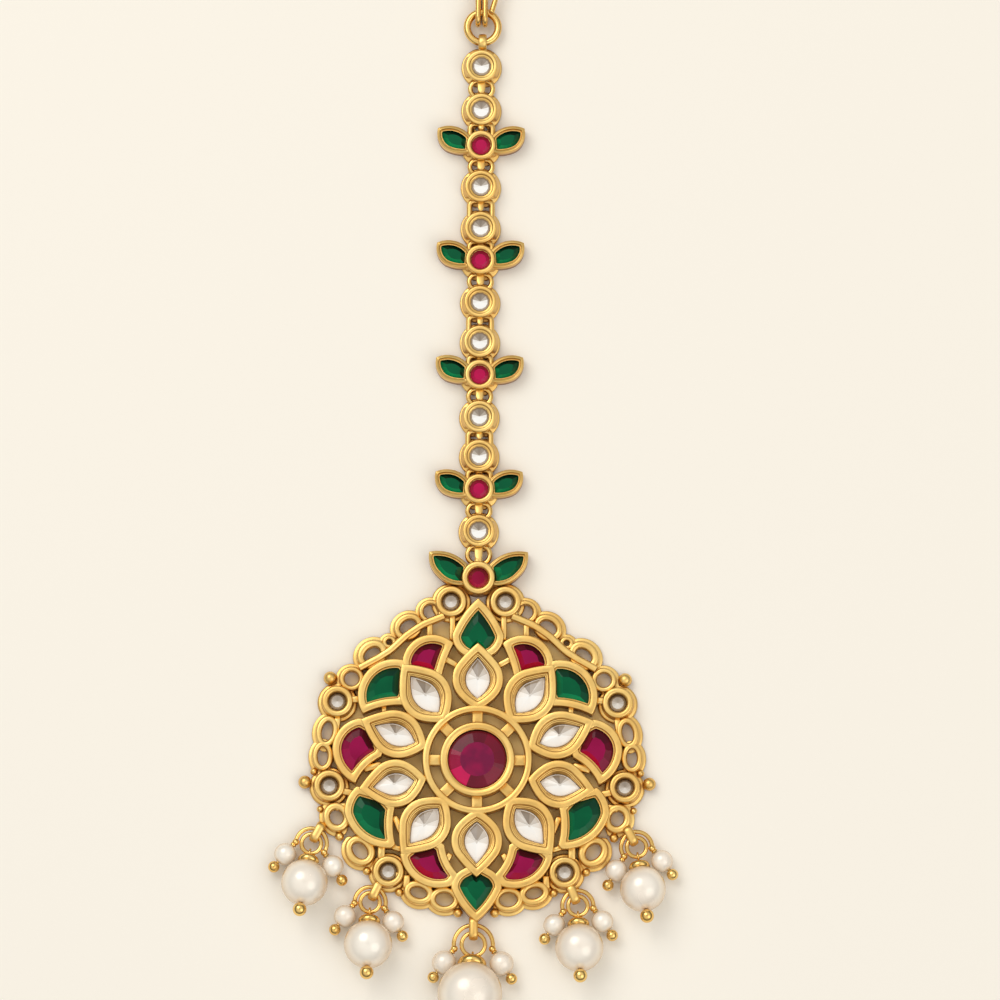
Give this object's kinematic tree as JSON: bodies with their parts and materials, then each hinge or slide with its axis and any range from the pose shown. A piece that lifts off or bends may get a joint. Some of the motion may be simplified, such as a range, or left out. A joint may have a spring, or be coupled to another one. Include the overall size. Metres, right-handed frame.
{
  "type": "maang tikka",
  "caption": "Gilded forehead jewel with a pierced, stone-set medallion, pearl drops, a chain of set links and a hair hook, lying face up.",
  "frame": {"origin": "on the surface it lies on, under the middle of the medallion", "axes": "+Z out of the stone-set face, +Y along the chain towards the hair hook, +X to the right as seen from the front"},
  "size_m": [0.0526, 0.1495, 0.0083],
  "materials": {
    "gold": "satin gilding on cast and soldered metal",
    "ruby": "faceted, polished",
    "emerald": "faceted, polished",
    "clear_stone": "faceted, polished, foiled behind",
    "pearl": "soft lustre"
  },
  "bodies": {
    "root": {"centre_ruby": "ruby", "chain_rings": "gold", "clear_round_stones": "clear_stone", "drop_hanger_1": "gold", "drop_hanger_2": "gold", "drop_hanger_3": "gold", "drop_hanger_4": "gold", "drop_hanger_5": "gold", "drop_pin_1": "gold", "drop_pin_2": "gold", "drop_pin_3": "gold", "drop_pin_4": "gold", "drop_pin_5": "gold", "drop_rings": "gold", "hair_hook": "gold", "large_pearl_1": "pearl", "large_pearl_2": "pearl", "large_pearl_3": "pearl", "large_pearl_4": "pearl", "large_pearl_5": "pearl", "leaf_emeralds": "emerald", "link_01": "gold", "link_02": "gold", "link_03": "gold", "link_04": "gold", "link_05": "gold", "link_06": "gold", "link_07": "gold", "link_08": "gold", "link_09": "gold", "link_10": "gold", "link_11": "gold", "link_12": "gold", "link_13": "gold", "medallion_frame": "gold", "outer_stone_01": "emerald", "outer_stone_02": "ruby", "outer_stone_03": "emerald", "outer_stone_04": "ruby", "outer_stone_05": "emerald", "outer_stone_06": "ruby", "outer_stone_07": "emerald", "outer_stone_08": "ruby", "outer_stone_09": "emerald", "outer_stone_10": "ruby", "outer_stone_11": "emerald", "outer_stone_12": "ruby", "petal_stone_01": "clear_stone", "petal_stone_02": "clear_stone", "petal_stone_03": "clear_stone", "petal_stone_04": "clear_stone", "petal_stone_05": "clear_stone", "petal_stone_06": "clear_stone", "petal_stone_07": "clear_stone", "petal_stone_08": "clear_stone", "petal_stone_09": "clear_stone", "petal_stone_10": "clear_stone", "small_pearls": "pearl", "small_rubies": "ruby", "top_ring": "gold"}
  },
  "joints": []
}
